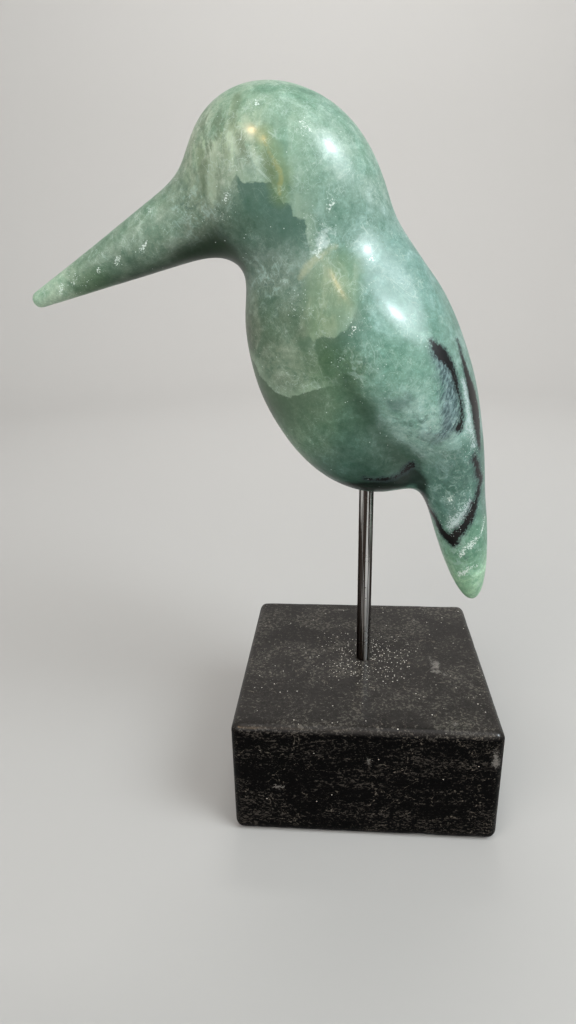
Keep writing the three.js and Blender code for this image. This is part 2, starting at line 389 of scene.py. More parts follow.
def birdDistance(points):
    x, y, z = np.asarray(points, float).T
    forms, blends = birdForms, birdForms["melt"]

    def egg(name, sideways=y):
        return eggDistance(forms[name], x, sideways, z)

    wingSide = np.hypot(y, blends["backRidge"]) - forms["wing"]["outwards"]
    rump = melt(egg("back"), egg("tail"), blends["rump"])
    mantle = melt(rump, egg("wing", wingSide), blends["shoulder"])
    body = melt(egg("belly"), mantle, blends["flank"])
    face = melt(egg("head"), beakDistance(x, y, z), blends["brow"])
    neckLength = forms["head"]["long"] + forms["belly"]["across"] / 2
    toNape = np.clip((x - forms["beak"]["root"][0]) / neckLength, 0, 1)
    neck = blends["throat"] + (blends["nape"] - blends["throat"]) * toNape
    return melt(face, body, neck) + valleyDepth(x, y, z)


def surfaceFrom(starts, directions):  # where rays from inside the bird come out
    stride = birdMesh["stride"]
    reach = np.full(len(starts), stride)
    inside = birdDistance(starts + directions * reach[:, None]) < 0
    while inside.any():
        reach[inside] += stride
        inside[inside] = birdDistance(starts[inside] + directions[inside] * reach[inside, None]) < 0
    near, far = reach - stride, reach
    for _ in range(birdMesh["halvings"]):
        middle = (near + far) / 2
        out = birdDistance(starts + directions * middle[:, None]) > 0
        near, far = np.where(out, near, middle), np.where(out, middle, far)
    return starts + directions * ((near + far) / 2)[:, None]


def gradedPlaces(length):  # places along a line, close together at both ends
    step = birdMesh["tipSpacing"]
    ends = [step]
    while step < birdMesh["spacing"]:
        step *= birdMesh["tipGrowth"]
        ends.append(ends[-1] + step)
    ends = np.array(ends)
    steps = round((length - 2 * ends[-1]) / birdMesh["spacing"])
    middle = np.linspace(ends[-1], length - ends[-1], steps + 1)
    return np.concatenate([ends, middle[1:-1], (length - ends)[::-1]])


def ringFaces(rings, sides):  # from a tip, which is point 0, over rings of points
    ring, side = np.meshgrid(np.arange(rings - 1), np.arange(sides), indexing="ij")
    a, b = 1 + ring * sides + side, 1 + ring * sides + (side + 1) % sides
    quads = np.stack([a, a + sides, b + sides, b], -1).reshape(-1, 4).tolist()
    return quads + [(0, 1 + j, 1 + (j + 1) % sides) for j in range(sides)]


def makeBirdMesh():
    beak = birdForms["beak"]
    beakTip, tailTip = placeOn("beak", 0, 0), placeOn("tail", 0, 0)
    outOfBeak = np.array([beak["tip"][0] - beak["root"][0], 0, beak["tip"][1] - beak["root"][1]])
    outOfBeak /= np.linalg.norm(outOfBeak)
    outOfTail = leaning(birdForms["tail"]["lean"] + 180)
    tips = surfaceFrom(np.array([beakTip, tailTip]), np.array([outOfBeak, outOfTail]))
    middles = np.array([placeOn(name, along, across) for name, along, across, _ in birdMesh["cuts"]])
    upwards = np.array([leaning(cut[3]) for cut in birdMesh["cuts"]])
    outlines = []
    for way in (-1, 1):  # the front outline, then the back one
        edge = surfaceFrom(middles, way * upwards)
        outlines.append(smoothLine(np.vstack([tips[:1], edge, tips[1:]]), birdMesh["outlineSteps"]))
    steps = np.maximum(*(np.linalg.norm(np.diff(line, axis=0), axis=1) for line in outlines))
    travelled = np.concatenate([[0], np.cumsum(steps)])
    places = gradedPlaces(travelled[-1])
    front, back = (np.stack([np.interp(places, travelled, axis) for axis in line.T], 1) for line in outlines)
    sides = birdMesh["sides"]
    angles = np.linspace(0, 2 * math.pi, sides, endpoint=False)
    up = (back - front) / np.linalg.norm(back - front, axis=1)[:, None]
    sideways = np.array([0, 1, 0])
    directions = up[:, None, :] * np.cos(angles)[:, None] + sideways * np.sin(angles)[:, None]
    starts = np.repeat((front + back) / 2, sides, axis=0)
    rings = surfaceFrom(starts, directions.reshape(-1, 3))
    points = np.vstack([tips[:1], rings, tips[1:]])
    end = len(points) - 1
    lastRing = end - sides
    tailFan = [(end, lastRing + (j + 1) % sides, lastRing + j) for j in range(sides)]
    return points, ringFaces(len(places), sides) + tailFan


# Bird: the colours and marks of its stone, with painted shade under and between its forms, seen from its left
# side (x and z in mm, as above)

birdTints = {  # soft patches of colour: x, z, reach, colour; most are the stone's own, some are painted shade
    "beakTip": (-124, 78, 12, (178, 198, 174)),
    "beak": (-92, 100, 18, (134, 156, 136)),
    "beakMiddle": (-76, 101, 10, (152, 174, 152)),
    # painted shade: beakUnderside, beakUnderTip, beakKeel, beakKeelFar and underBeak darken the beak's
    # underside and the hollow under it, where shade falls
    "beakUnderside": (-76, 84, 12, (10, 26, 12)),
    "beakUnderTip": (-102, 78, 9, (64, 96, 60)),
    "beakKeel": (-65, 87, 10, (8, 22, 10)),
    "beakKeelFar": (-90, 80, 8, (26, 48, 28)),
    "beakRoot": (-64, 108, 12, (124, 144, 124)),
    "underBeak": (-54, 90, 12, (4, 10, 5)),
    "face": (-56, 122, 12, (160, 174, 150)),
    "brow": (-42, 136, 12, (154, 178, 154)),
    "crown": (-31, 132, 9, (118, 156, 132)),
    "head": (-18, 122, 18, (150, 178, 160)),
    "cheek": (-36, 104, 11, (96, 130, 114)),
    "cheekLow": (-42, 97, 7, (72, 104, 84)),
    "neck": (-12, 102, 13, (144, 170, 158)),
    "throat": (-36, 86, 11, (122, 144, 130)),
    "chest": (-14, 78, 8, (122, 148, 120)),
    "chestTip": (-17, 67, 4, (150, 172, 142)),
    "breast": (-38, 66, 14, (110, 128, 106)),
    "breastEdge": (-48, 66, 7, (70, 76, 64)),
    "breastLow": (-30, 50, 8, (138, 156, 134)),
    "breastGreen": (-17, 56, 7, (84, 116, 82)),
    "belly": (-25, 33, 12, (103, 131, 105)),
    # painted shade: bellyEdge and bellyUnder darken the belly towards its outline and its underside; bellyLow
    # is darker green stone with painted shade added
    "bellyEdge": (-38, 38, 9, (44, 62, 44)),
    "bellyLow": (-6, 17, 12, (76, 107, 93)),
    "bellyUnder": (-6, 2, 10, (40, 64, 54)),
    # painted shade: valleyTop, valley and valleyLow darken the valley between breast and wing
    "valleyTop": (-11, 50, 7, (98, 128, 100)),
    "valley": (-4, 36, 7, (70, 103, 82)),
    "valleyLow": (8, 20, 7, (50, 78, 60)),
    "shoulder": (8, 84, 16, (130, 164, 154)),
    "wing": (12, 58, 14, (118, 158, 140)),
    "wingLow": (16, 34, 11, (160, 194, 182)),
    "back": (32, 58, 12, (124, 156, 144)),
    "tail": (30, 4, 13, (102, 136, 124)),
    "tailLow": (40, -22, 10, (116, 158, 134)),
    "tailTip": (44, -38, 12, (172, 210, 174)),
}

birdDrift = ((9, 3.5), (3, 1.5))  # the waves in the patches' borders: size and reach in mm

birdFaults = {  # healed cracks, each with its darker side on the left as the line is followed
    "cheekFault": {
        "line": [(-21.5, 80), (-21.1, 91.4), (-22.1, 98), (-22.9, 101.7), (-26.6, 103), (-27.4, 106.7),
                 (-30.3, 107.4), (-32.2, 110.2), (-34, 113.2), (-39.4, 113.6), (-43.4, 114), (-45.2, 115.8),
                 (-48.2, 112), (-50.5, 108.5)],
        "ends": (0.2, 0.25), "shade": (78, 112, 98), "sway": 0.5, "sharpness": 0.7,
        "darkReach": 22, "paleReach": 5, "dark": 0.8, "pale": 0.4,
    },
    "chestFault": {
        "line": [(-3, 83), (-5.1, 76), (-6.4, 70.4), (-8.7, 67.1), (-11.5, 65.4), (-13.2, 64.2), (-17, 64.8),
                 (-20.6, 62.7), (-22.5, 66)],
        "ends": (0.4, 0.1), "shade": (76, 108, 88), "sway": 0.4, "sharpness": 0.8,
        "darkReach": 8, "paleReach": 6, "dark": 0.6, "pale": 0.2,
    },
    "breastFault": {
        "line": [(-9, 47.8), (-16.4, 46.9), (-20.9, 45.5), (-24.7, 44), (-28, 42.7), (-34.3, 43),
                 (-40.7, 48.5), (-43, 53.5), (-49, 60)],
        "ends": (0.25, 0.15), "shade": (70, 94, 72), "sway": 0.45, "sharpness": 0.8,
        "darkReach": 20, "paleReach": 4, "dark": 0.6, "pale": 0.3,
    },
    "crownFault": {
        "line": [(-25, 100), (-25.7, 105.9), (-27.5, 113.3), (-28.4, 122.1), (-28.1, 131.2), (-26, 140)],
        "ends": (0.2, 0.2), "shade": (110, 146, 124), "sway": 0.6, "sharpness": 1.6,
        "darkReach": 10, "paleReach": 14, "dark": 0.3, "pale": 0.25,
    },
    "greenFault": {
        "line": [(-20, 64), (-19.5, 60), (-17.5, 54), (-15, 47)],
        "ends": (0.1, 0.3), "shade": (66, 100, 70), "sway": 0.5, "sharpness": 1.2,
        "darkReach": 7, "paleReach": 4, "dark": 0.5, "pale": 0.1,
    },
}

birdStrokes = {
    # softer streaks, and painted shade in the trough, on the underside and under the beak: lines with half
    # widths, colour, strength, softness and sway of the edge in mm;
    # a grainy one is broken up into specks
    "paleStrokes": {
        "lines": [([(-51.1, 126.5), (-52.6, 123.6), (-53.9, 118.3), (-54.6, 113.2), (-54.3, 107.5)],
                   [0.2, 0.9, 1.5, 1.5, 0.3]),
                  ([(-48.2, 131.2), (-46.8, 126.7), (-44.8, 122)], [0.4, 1.4, 0.4]),
                  ([(-42, 133.5), (-40.4, 127.1), (-38.8, 121), (-37.7, 116.5)], [0.6, 0.7, 0.5, 0.2])],
        "colour": (184, 202, 176), "strength": 0.5, "soft": 1.6, "sway": 0.7,
    },
    "darkStrokes": {
        "lines": [([(-51.4, 130.5), (-49.6, 125.4), (-48, 120.5)], [0.2, 0.8, 0.3]),
                  ([(-46.1, 130.5), (-43.4, 125.2), (-41.2, 119.5)], [0.2, 0.9, 0.3]),
                  ([(-58.7, 126), (-57.2, 119.5), (-57.3, 112)], [0.4, 1.8, 0.6]),
                  ([(-45.3, 140.5), (-46, 135.2), (-46.9, 130)], [0.8, 1.2, 0.3])],
        "colour": (98, 118, 88), "strength": 0.55, "soft": 1.8, "sway": 0.6,
    },
    "oliveShade": {
        "lines": [([(-35.6, 121.5), (-34.2, 117.5), (-33.0, 113.5)], [0.2, 0.9, 0.3])],
        "colour": (84, 104, 60), "strength": 0.6, "soft": 3.0, "sway": 0.4,
    },
    # painted shade along the valley between breast and wing
    "trough": {
        "lines": [([(-9, 50), (-5.4, 44.5), (-1.8, 39.1), (1.2, 34.2), (6.2, 25.6), (12.4, 20.3),
                    (16.6, 15.3)],
                   [0.3, 1, 1.5, 1.8, 1.8, 1.8, 2])],
        "colour": (40, 72, 50), "strength": 0.6, "soft": 5, "sway": 0.5,
    },
    "smoke": {
        "lines": [([(19, 29), (24, 28), (29, 31)], [0.6, 1.6, 0.8]),
                  ([(5, 44), (9, 41), (12, 43)], [0.3, 1.0, 0.4])],
        "colour": (82, 106, 104), "strength": 0.5, "soft": 3.5, "sway": 1.2,
    },
    # darker stone on the underside and in the pocket where belly and tail meet, with painted shade over it
    "underside": {
        "lines": [([(-16, 4.5), (-6, 4.6), (3, 5.4), (11, 6.4), (16.2, 9.5), (20.5, 7)],
                   [0.6, 2.6, 3.6, 4.2, 4.2, 2.6]),
                  ([(20.6, 7), (22.6, 1), (24.8, -5.5)], [2.2, 1.4, 0.6])],
        "colour": (10, 20, 14), "strength": 0.85, "soft": 2.6, "sway": 0.5,
    },
    # painted shade along the beak's underside and under it
    "beakShade": {
        "lines": [([(-92, 83.2), (-76, 87.5), (-66, 91), (-58.8, 93), (-53.6, 93.6), (-49, 90)],
                   [0.3, 2.0, 3.2, 4.4, 5.0, 2.5])],
        "colour": (8, 42, 14), "strength": 0.85, "soft": 6.5, "sway": 0.4,
    },
    "frost": {
        "lines": [([(32.6, 48), (34.2, 41.5), (35.2, 34.5), (37.4, 28.5), (39, 23)],
                   [0.1, 0.6, 1.0, 1.0, 0.2]),
                  ([(40.4, -1), (37.4, -4.9), (34.8, -8.5), (32.4, -11.6)], [0.2, 0.9, 1.1, 0.3])],
        "colour": (204, 220, 220), "strength": 0.8, "soft": 1.2, "sway": 1.3, "grainy": 12,
    },
    "amber": {
        "lines": [([(-24.5, 83.5), (-22, 87), (-19.3, 89.5), (-16.6, 91), (-13.6, 93.4)],
                   [0.3, 0.8, 0.5, 0.3, 0.1])],
        "colour": (188, 190, 152), "strength": 0.38, "soft": 1.6, "sway": 0.7,
    },
    "whiteCloud": {
        "lines": [([(-18.3, 92.5), (-16.8, 96), (-15.2, 99)], [0.1, 0.7, 0.1])],
        "colour": (214, 234, 230), "strength": 0.6, "soft": 2.2, "sway": 2.2,
    },
}

birdCloudy = [  # where the stone is curdled with white: x, z, reach
    (17, 33, 13), (33, 4, 12), (-36, 84, 9), (38, -24, 8), (-62, 108, 10), (-4, 56, 7),
]

birdMarks = {
    "honey": [(-18.8, 91.7), (-23, 86), (-23.6, 77.7), (-23.8, 68.6), (-20.6, 62.7), (-13.2, 64.2),
              (-8.7, 67.1), (-6.4, 70.4), (-5.1, 76), (-3.4, 82.9), (-4, 89.8), (-9, 93)],
    "black": [  # each a line and its half widths
        ([(20.3, 61.6), (22.2, 59.6), (24.6, 57.2), (27.5, 53.3), (29.7, 46.7), (31.2, 41.4), (32.4, 35.8),
          (31.6, 32.4)],
         [0.7, 2.0, 2.2, 1.0, 0.5, 0.4, 0.4, 1.2]),
        ([(30.5, 61.1), (32.5, 54.6), (34.9, 47.8), (37.1, 41.7), (38.9, 34.6), (40.3, 27.6), (41.4, 21.5)],
         [0.2, 0.8, 2.0, 3.3, 3.5, 1.8, 0.5]),
        ([(39.2, 18.6), (40.9, 15), (41.7, 11.4), (43.4, 8.5), (43.2, 5.3), (42.4, 2.2), (41.9, -0.5),
          (40.4, -5.1), (38.3, -10.1), (35.8, -13.8), (34.2, -17.2)],
         [0.9, 1.3, 1.2, 1.4, 0.7, 0.6, 0.9, 1.5, 1.2, 1.4, 2.2]),
        ([(22.2, 1), (23.4, -2.5), (25.4, -6.5), (26.9, -8.2), (28.5, -11.3), (30.4, -14.7), (32.5, -16.5),
          (34.3, -17.6)],
         [0.4, 0.7, 1.0, 1.3, 1.3, 1.4, 1.7, 2.2]),
        ([(-1, 9.9), (4.5, 9.4), (8.9, 9.6), (12.8, 11.4), (16.4, 14.6)], [0.1, 0.4, 0.5, 0.6, 1.2]),
    ],
    "farBlack": [  # fewer on the side turned away
        ([(22, 54), (26, 47), (28.5, 38), (29.5, 29)], [0.3, 1.4, 0.9, 0.4]),
        ([(38.5, 22), (40.5, 12), (41.5, 2), (38.5, -8)], [0.3, 1.5, 1.2, 0.4]),
    ],
    "haze": ([(20.5, 59), (24.2, 54), (26.6, 48), (27.6, 41.5), (27.6, 35), (25.5, 30)],
             [0.3, 2.8, 3.6, 4.0, 3.6, 1.6]),
    "olive": ([(-36.1, 127.1), (-35.3, 124.4), (-33.5, 121.1), (-31.7, 117.7), (-30.4, 115.2), (-31, 112),
               (-31, 109.5)],
              [0.1, 0.45, 0.65, 0.85, 0.6, 0.5, 0.3]),
    "fleck": [  # white chips: x, z, half length, half width, lean in degrees
        (-82.5, 94.7, 2.2, 0.5, 40), (-93, 90.7, 1.1, 0.25, 40), (-101, 87.2, 0.8, 0.2, 40),
        (-111, 83.8, 1.4, 0.3, 35), (-117.5, 80.5, 1.8, 0.4, 20), (-79, 107, 0.8, 0.15, 50),
        (46, -12, 3.6, 0.3, 15), (41.0, -19.0, 4.0, 1.2, 40), (38.6, -23, 1.4, 0.7, 30),
        (40.0, -32.0, 3.0, 1.2, 40), (44, -29, 1.4, 0.3, 60), (-18, 93.5, 2.6, 0.35, 20),
        (-14.2, 106, 1.2, 0.3, 30), (-22.5, 129.5, 2.0, 0.2, -50), (-38, 137.5, 0.8, 0.3, 20),
        (-0.8, 89.1, 1.0, 0.2, 85), (-6.5, 66.5, 1.6, 0.25, 20), (-49, 109.5, 1.2, 0.25, 20),
        (32, 1.4, 1.2, 0.3, 10),
    ],
    "streaks": (-52, 126, 13, 12),  # x, z and the reach along each
    "farShift": (5, -6),  # the far side has the same stone, a little shifted
    "glitter": [  # clusters of bright grains: x, z, reach
        (-16.4, 96.5, 4), (-14.1, 106.7, 2.5), (-19.7, 99.6, 4), (-52.5, 104.6, 2.2),
        (-58.5, 103.2, 2.4), (-49.4, 109.1, 2.2), (-23, 130.5, 3), (-37.8, 137.5, 2),
        (-25, 76, 4), (-26.2, 73, 3), (-11, 55.9, 4), (-0.5, 81.2, 1.5), (-0.8, 89.1, 1.5),
        (-23.7, 51.5, 1), (-5.7, 67.1, 3), (38, -0.9, 4), (35, -7.1, 5), (41.5, -19.5, 4),
        (40.5, -32.4, 4), (31.8, 1.4, 2), (36, 28, 4), (37, 22, 4), (-109, 85, 5), (3, 54, 2),
    ],
}


def outlineDistance(points, outline):  # from a closed outline: positive inside, negative outside
    closed = np.array(outline + outline[:1], float)
    nearest, _ = lineDistance(points, closed)
    inside = np.zeros(len(points), bool)
    for (ax, az), (bx, bz) in zip(closed[:-1], closed[1:]):
        spans = (az > points[:, 1]) != (bz > points[:, 1])
        crossing = ax + (points[:, 1] - az) * (bx - ax) / (bz - az if bz != az else 1)
        inside ^= spans & (points[:, 0] < crossing)
    return np.where(inside, nearest, -nearest)


def faultDistance(points, line, ends):  # positive on its left, and a weight that fades out at its ends
    line = np.array(line, float)
    nearest = np.full(len(points), np.inf)
    signed, share = np.zeros(len(points)), np.zeros(len(points))
    for i, (a, b) in enumerate(zip(line[:-1], line[1:])):
        step, to = b - a, points - a
        on = np.clip(to @ step / (step @ step), 0, 1)
        distance = np.linalg.norm(to - on[:, None] * step, axis=1)
        beside = (step[0] * to[:, 1] - step[1] * to[:, 0]) / np.linalg.norm(step)
        rank = distance - 1e-3 * np.abs(beside)  # at a corner the stretch that is seen more squarely decides
        closer = rank < nearest
        nearest = np.where(closer, rank, nearest)
        signed = np.where(closer, np.sign(beside) * distance, signed)
        share = np.where(closer, (i + on) / (len(line) - 1), share)
    return signed, smoothStep(0, ends[0], share) * smoothStep(0, ends[1], 1 - share)


def onLeftSide(places):  # puts points seen from the side on the bird's left surface
    outside, steps = 45, 226  # mm, past the bird's widest place
    depth = np.linspace(-outside, 0, steps)
    found = []
    for x, z in places:
        column = np.stack([np.full_like(depth, x), depth, np.full_like(depth, z)], 1)
        inside = birdDistance(column) < 0
        found.append((x, depth[np.argmax(inside)] if inside.any() else 0, z))
    return np.array(found)


def markDistance(points, line, halfWidths, steps=48):  # negative inside the mark
    nearest, share = lineDistance(points, smoothLine(onLeftSide(line), steps))
    return nearest - spread(share, halfWidths)


def birdAttributes(points):
    side = points[:, [0, 2]].copy()
    far = points[:, 1] > 0
    side[far] += birdMarks["farShift"]
    black = [markDistance(points, *mark) for mark in birdMarks["black"]]
    black += [markDistance(points * (1, -1, 1), *mark) for mark in birdMarks["farBlack"]]
    values = {
        "honey": outlineDistance(side, birdMarks["honey"]),
        "black": np.min(black, axis=0),
        "haze": markDistance(points, *birdMarks["haze"]),
        "olive": markDistance(points, *birdMarks["olive"]),
    }
    for name, stroke in birdStrokes.items():
        values[name] = np.min([markDistance(points, *line) for line in stroke["lines"]], axis=0)
    for name, fault in birdFaults.items():
        values[name], values[name + "Weight"] = faultDistance(side, fault["line"], fault["ends"])
    flecks = []
    for x, z, half, width, lean in birdMarks["fleck"]:
        reach = leaning(lean)[[0, 2]] * half
        ends = [(x - reach[0], z - reach[1]), (x + reach[0], z + reach[1])]
        flecks.append(markDistance(points, ends, [width * 0.3, width, width * 0.3], 5))
    values["fleck"] = np.min(flecks, axis=0)
    x, z, wide, high = birdMarks["streaks"]
    values["streaks"] = np.exp(-(((side[:, 0] - x) / wide) ** 2) - ((side[:, 1] - z) / high) ** 2)
    values["curdled"] = sum(np.exp(-((side - (x, z)) ** 2).sum(1) / reach**2) for x, z, reach in birdCloudy)
    clusters = zip(birdMarks["glitter"], onLeftSide([cluster[:2] for cluster in birdMarks["glitter"]]))
    values["glitter"] = sum(np.exp(-(((points - middle) ** 2).sum(1)) / cluster[2] ** 2)
                            for cluster, middle in clusters)
    return values


def birdTint(points):  # the soft patches, run into each other, with wandering borders
    drift = sum(np.array([noise.noise_vector(Vector(p / size)) for p in points]) * reach
                for size, reach in birdDrift)
    side = (points + drift)[:, [0, 2]]
    total = np.full(len(points), 1e-6)
    colour = np.zeros((len(points), 3))
    for x, z, reach, shade in birdTints.values():
        weight = np.exp(-(((side - (x, z)) ** 2).sum(1)) / reach**2)
        colour += weight[:, None] * np.array(linear(*shade)[:3])
        total += weight
    return colour / total[:, None]


def objectFrom(name, points, faces):
    mesh = bpy.data.meshes.new(name)
    mesh.from_pydata(points.tolist(), [], faces)
    mesh.validate()
    made = newObject(name, mesh)
    return made


def cylinder(low, high, radius, sides):
    shape = bmesh.new()
    bmesh.ops.create_cone(shape, cap_ends=True, segments=sides, radius1=radius, radius2=radius,
                          depth=high - low, matrix=Matrix.Translation((0, 0, (low + high) / 2)))
    return shape


def meshFrom(name, shape):
    mesh = bpy.data.meshes.new(name)
    shape.to_mesh(mesh)
    shape.free()
    return mesh


def drill(piece, low, high, radius, sides=64):
    bit = newObject("drill", meshFrom("drill", cylinder(low, high, radius, sides)))
    cut = piece.modifiers.new("socket", "BOOLEAN")
    cut.operation = "DIFFERENCE"
    cut.solver = "EXACT"
    cut.object = bit
    result = bpy.data.meshes.new_from_object(piece.evaluated_get(bpy.context.evaluated_depsgraph_get()))
    piece.modifiers.clear()
    piece.data = result
    bpy.data.objects.remove(bit)


def setAttributes(mesh, values):
    for name, numbers in values.items():
        layer = mesh.attributes.new(name, "FLOAT", "POINT")
        layer.data.foreach_set("value", np.asarray(numbers, np.float32))


def vertexPlaces(mesh):
    places = np.zeros(len(mesh.vertices) * 3)
    mesh.vertices.foreach_get("co", places)
    return places.reshape(-1, 3)


def makeBird(material, socketGap):
    low, high = (np.array(corner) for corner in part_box("bird"))
    rodLow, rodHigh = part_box("mounting_rod")
    radius = (rodHigh.x - rodLow.x) / 2
    points, faces = makeBirdMesh()
    underside = surfaceFrom(placeOn("belly", 0, 0)[None, :] * (0, 0, 1), np.array([[0, 0, -1.0]]))[0, 2]
    lift = high[2] / mm - points[:, 2].max()
    bumps = np.array([noise.noise(Vector(p / birdMesh["wobbleSize"])) for p in points])
    middle = points.mean(0)
    outwards = points - middle
    outwards /= np.linalg.norm(outwards, axis=1)[:, None]
    points = points + outwards * (bumps * birdMesh["wobble"])[:, None]
    placed = (points + (0, 0, lift)) * mm
    placed = np.clip(placed, low, high)
    bird = objectFrom("carvedBird", placed, faces)
    seat = (underside + lift) * mm
    drill(bird, seat - 2 * radius, rodHigh.z + socketGap, radius + socketGap)
    bird.data.shade_smooth()
    onForms = vertexPlaces(bird.data) / mm - (0, 0, lift)
    setAttributes(bird.data, birdAttributes(onForms))
    tint = bird.data.attributes.new("tint", "FLOAT_COLOR", "POINT")
    colours = np.hstack([birdTint(onForms), np.ones((len(onForms), 1))])
    tint.data.foreach_set("color", colours.astype(np.float32).ravel())
    bird.data.materials.clear()
    bird.data.materials.append(material)
    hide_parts("bird")
    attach(bird, "root")
    print("bird:", len(bird.data.polygons), "faces, underside at", round(seat / mm, 2), "mm")


birdLook = {
    "clouds": {  # size in mm, detail, roughness, distortion
        "broad": (19, 4, 0.6, 1.0),
        "soft": (7, 5, 0.62, 0.7),
        "fine": (2.2, 4, 0.65, 0.0),
        "grain": (0.55, 2, 0.6, 0.0),
    },
    "cloudiness": [  # cloud, where it starts and is full, what it does to red, green and blue
        ("broad", 0.62, 0.36, (0.68, 0.8, 0.76)), ("soft", 0.50, 0.68, (1.38, 1.30, 1.38)),
        ("soft", 0.50, 0.32, (0.78, 0.85, 0.82)), ("fine", 0.52, 0.34, (0.78, 0.84, 0.82)),
        ("fine", 0.52, 0.68, (1.22, 1.18, 1.22)), ("grain", 0.52, 0.72, (1.2, 1.17, 1.2)),
    ],
    "roughness": (0.34, 0.5),
    "relief": (0.1, 0.25),  # mm, and its strength
    "coat": 0.3,
    "colours": {
        "curdPale": (176, 206, 196), "curdDark": (76, 106, 96), "streakPale": (184, 204, 172),
        "streakDark": (92, 110, 84), "honeyPale": (152, 172, 138), "honeyDark": (110, 142, 106),
        "crackPale": (178, 202, 176), "olive": (158, 162, 104), "oliveHalo": (110, 136, 84),
        "hazePale": (122, 146, 150), "hazeDark": (54, 70, 80), "inkEdge": (58, 74, 76),
        "inkBrown": (18, 12, 13), "inkBlack": (3, 6, 8), "hairs": (205, 226, 216),
        "grains": (222, 238, 232), "chips": (226, 240, 232),
    },
    "shader": {"IOR": 1.5, "Specular IOR Level": 0.2, "Coat Roughness": 0.2, "Subsurface Weight": 0.2,
               "Subsurface Radius": (0.6, 1.0, 0.75), "Subsurface Scale": 3 * mm},
}


def birdShade(name):
    return linear(*birdLook["colours"][name])


def birdBody(place, clouds):  # the milky body of the stone
    tint = colour = attribute(place, "tint", "Color")
    for name, low, high, change in birdLook["cloudiness"]:
        colour = blend(fade(clouds[name], low, high), colour, (*change, 1), "MULTIPLY")
    curdled = attribute(place, "curdled")
    curds = cloud(place, 3.6, 5, 0.66, 0.9)
    for low, high, name in ((0.50, 0.66, "curdPale"), (0.48, 0.34, "curdDark")):
        colour = blend(times(fade(curds, low, high, 0.6), curdled), colour, birdShade(name))
    return tint, colour


def birdStreaks(place, colour, swayed):  # upright streaks on the face, and the honey patch on the chest
    streaky = cloud(stretched(place, (0, 10, 0), (1, 1, 0.2)), 4.6, 4, 0.62, 0.8)
    streaks = attribute(place, "streaks")
    for low, high, most, name in ((0.52, 0.60, 0.75, "streakPale"), (0.47, 0.38, 0.65, "streakDark")):
        share = times(fade(streaky, low, high, most), streaks)
        colour = blend(share, colour, birdShade(name))
    honeyed = blend(fade(streaky, 0.4, 0.6), birdShade("honeyDark"), birdShade("honeyPale"))
    return blend(fade(swayed("honey", 0.35), -2.5, 3.5, 0.5), colour, honeyed)


def birdHealedCracks(place, colour, fault, wander):
    for name, look in birdFaults.items():
        sides = useGroup(fault, {
            "Distance": attribute(place, name), "Weight": attribute(place, name + "Weight"),
            "Wander": times(wander, look["sway"]), "Sharpness": look["sharpness"],
            "Dark Reach": look["darkReach"], "Pale Reach": look["paleReach"]})
        dark = times(sides.outputs["Dark"], look["dark"])
        pale = times(sides.outputs["Pale"], look["pale"])
        colour = blend(dark, colour, linear(*look["shade"]), "DARKEN")
        colour = blend(pale, colour, birdShade("crackPale"), "LIGHTEN")
    return colour


def birdVeins(place, colour, swayed, soft, graininess):  # vein, strokes, haze and black marks
    vein = swayed("olive", 0.35)
    colour = blend(fade(vein, 5.0, 0.5, 0.55), colour, birdShade("oliveHalo"))
    colour = blend(fade(vein, 0.5, -0.6, 0.65), colour, birdShade("olive"))
    for name, look in birdStrokes.items():
        near = plus(swayed(name, look["sway"]), times(graininess, look.get("grainy", 0)))
        near = fade(near, look["soft"], -0.3 * look["soft"], look["strength"])
        colour = blend(near, colour, linear(*look["colour"]))
    feather = cloud(stretched(place, (0, -25, 0), (1, 1, 0.25)), 0.9, 3, 0.65)
    feathery = times(minus(feather, 0.5), 7.0)
    haze = plus(swayed("haze", 0.9), feathery)
    combed = blend(fade(feather, 0.38, 0.62), birdShade("hazeDark"), birdShade("hazePale"))
    colour = blend(fade(haze, 3.2, -2.2, 0.8), colour, combed)
    ink = plus(swayed("black", 0.4), times(feathery, 0.55))
    ink = plus(ink, times(graininess, 2.2))
    colour = blend(fade(ink, 2.4, 0.2, 0.7), colour, birdShade("inkEdge"))
    blackest = blend(fade(soft, 0.4, 0.6), birdShade("inkBlack"), birdShade("inkBrown"))
    return blend(fade(ink, 0.7, -0.3), colour, blackest)


def birdSpecks(place, colour, groups, graininess, jagFine):  # pale hairs, bright grains and white chips
    glints, fibres = groups
    hairs = useGroup(fibres, {"Vector": place}).outputs["Mask"]
    level = addNode("SeparateColor", {0: colour}).outputs[1]
    hairs = times(hairs, fade(level, 0.12, 0.32, 0.35))  # fewer where the stone is dark
    colour = blend(hairs, colour, birdShade("hairs"))
    amount = plus(times(attribute(place, "glitter"), 0.9), 0.02)
    sparks = useGroup(glints, {"Vector": place, "Scale": 1 / (0.75 * mm), "Amount": amount})
    colour = blend(times(sparks.outputs["Mask"], 0.75), colour, birdShade("grains"))
    chips = plus(attribute(place, "fleck"), times(jagFine, 2.5))
    chips = plus(chips, times(graininess, 5.0))
    return blend(fade(chips, 0.25, -0.15, 0.9), colour, birdShade("chips"))


